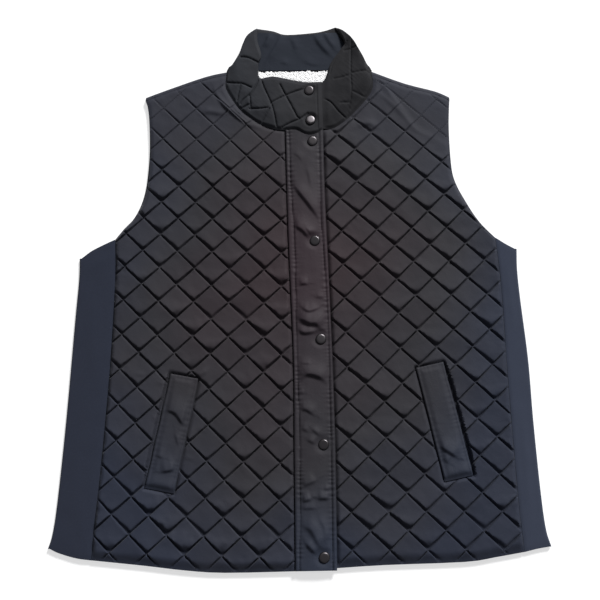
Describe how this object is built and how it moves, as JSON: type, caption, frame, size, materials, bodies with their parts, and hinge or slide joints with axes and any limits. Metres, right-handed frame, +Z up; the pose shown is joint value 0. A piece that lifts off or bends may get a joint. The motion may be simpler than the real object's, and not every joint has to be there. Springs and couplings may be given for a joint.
{
  "type": "quilted vest",
  "caption": "Sleeveless diamond-quilted vest with a stand collar, knit side panels, snap placket and slanted pocket welts, laid flat and snapped shut.",
  "frame": {"origin": "centre of the vest's outline on the surface that it lies on", "axes": "+Y from the hem to the collar, +X to the wearer's left, +Z up from the surface, out of the front"},
  "size_m": [0.678, 0.8126, 0.0162],
  "materials": {
    "quilted_polyester": "satin black quilted polyester taffeta",
    "plain_polyester": "satin black polyester taffeta",
    "knit": "matte dark navy double knit",
    "collar_polyester": "soft black quilted polyester",
    "collar_lining": "plain dark navy woven cloth",
    "pile_lining": "white curly pile",
    "snap_metal": "gunmetal"
  },
  "bodies": {
    "root": {"front_right": "quilted_polyester", "front_left": "quilted_polyester", "back": "quilted_polyester", "side_panel_right": "knit", "side_panel_left": "knit", "placket": "plain_polyester", "collar": "collar_polyester", "collar_lining": "collar_lining", "back_lining": "pile_lining", "pocket_welt_right": "plain_polyester", "pocket_welt_left": "plain_polyester", "snap_1": "snap_metal", "snap_2": "snap_metal", "snap_3": "snap_metal", "snap_4": "snap_metal", "snap_5": "snap_metal", "snap_6": "snap_metal", "snap_7": "snap_metal"}
  },
  "joints": []
}
